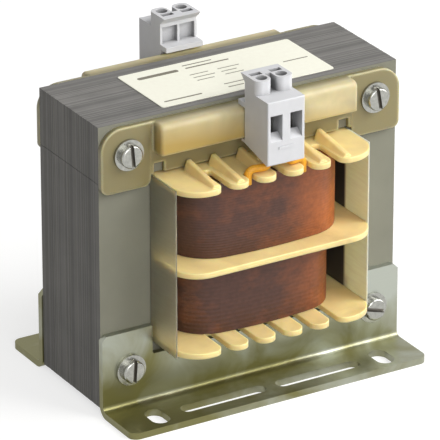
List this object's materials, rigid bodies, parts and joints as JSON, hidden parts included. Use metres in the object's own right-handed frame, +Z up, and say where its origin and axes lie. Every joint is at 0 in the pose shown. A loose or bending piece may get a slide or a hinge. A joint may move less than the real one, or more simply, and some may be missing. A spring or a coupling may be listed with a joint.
{
  "type": "safety transformer",
  "caption": "Open EI-core safety transformer: coil former and windings in a laminated core on folded slotted feet, with screw terminals clipped to carriers front and rear.",
  "frame": {"origin": "centre of the ground plane under the two feet", "axes": "+Z up, -Y towards the front terminal, +X along the core's width"},
  "size_m": [0.097, 0.071, 0.097],
  "materials": {
    "lamination_steel": "dull, rolled sheet edges",
    "enamelled_copper": "gloss enamel over copper wire",
    "former_nylon": "natural moulded nylon",
    "carrier_nylon": "natural moulded nylon",
    "insulation_sheet": "translucent film board",
    "zinc_bracket": "yellowish zinc plate",
    "zinc_fastener": "bright zinc plate",
    "terminal_grey": "light grey moulding",
    "clamp_metal": "plated",
    "lead_sleeve": "yellow-orange sleeving",
    "label_paper": "cream paper, bare"
  },
  "bodies": {
    "root": {"e_laminations": "lamination_steel", "i_laminations": "lamination_steel", "coil_former": "former_nylon", "primary_winding": "enamelled_copper", "secondary_winding": "enamelled_copper", "left_window_insulation": "insulation_sheet", "right_window_insulation": "insulation_sheet", "primary_leads": "lead_sleeve", "secondary_leads": "lead_sleeve", "front_mounting_bracket": "zinc_bracket", "rear_mounting_bracket": "zinc_bracket", "lower_bolts": "zinc_fastener", "lower_washers": "zinc_fastener", "lower_lock_washers": "zinc_fastener", "lower_nuts": "zinc_fastener", "front_terminal_carrier": "carrier_nylon", "rear_terminal_carrier": "carrier_nylon", "upper_bolts": "zinc_fastener", "upper_washers": "zinc_fastener", "upper_lock_washers": "zinc_fastener", "upper_nuts": "zinc_fastener", "front_terminal_housing": "terminal_grey", "rear_terminal_housing": "terminal_grey", "front_clamp_cages": "clamp_metal", "rear_clamp_cages": "clamp_metal", "front_clamp_screws": "clamp_metal", "rear_clamp_screws": "clamp_metal", "rating_label": "label_paper"}
  },
  "joints": []
}
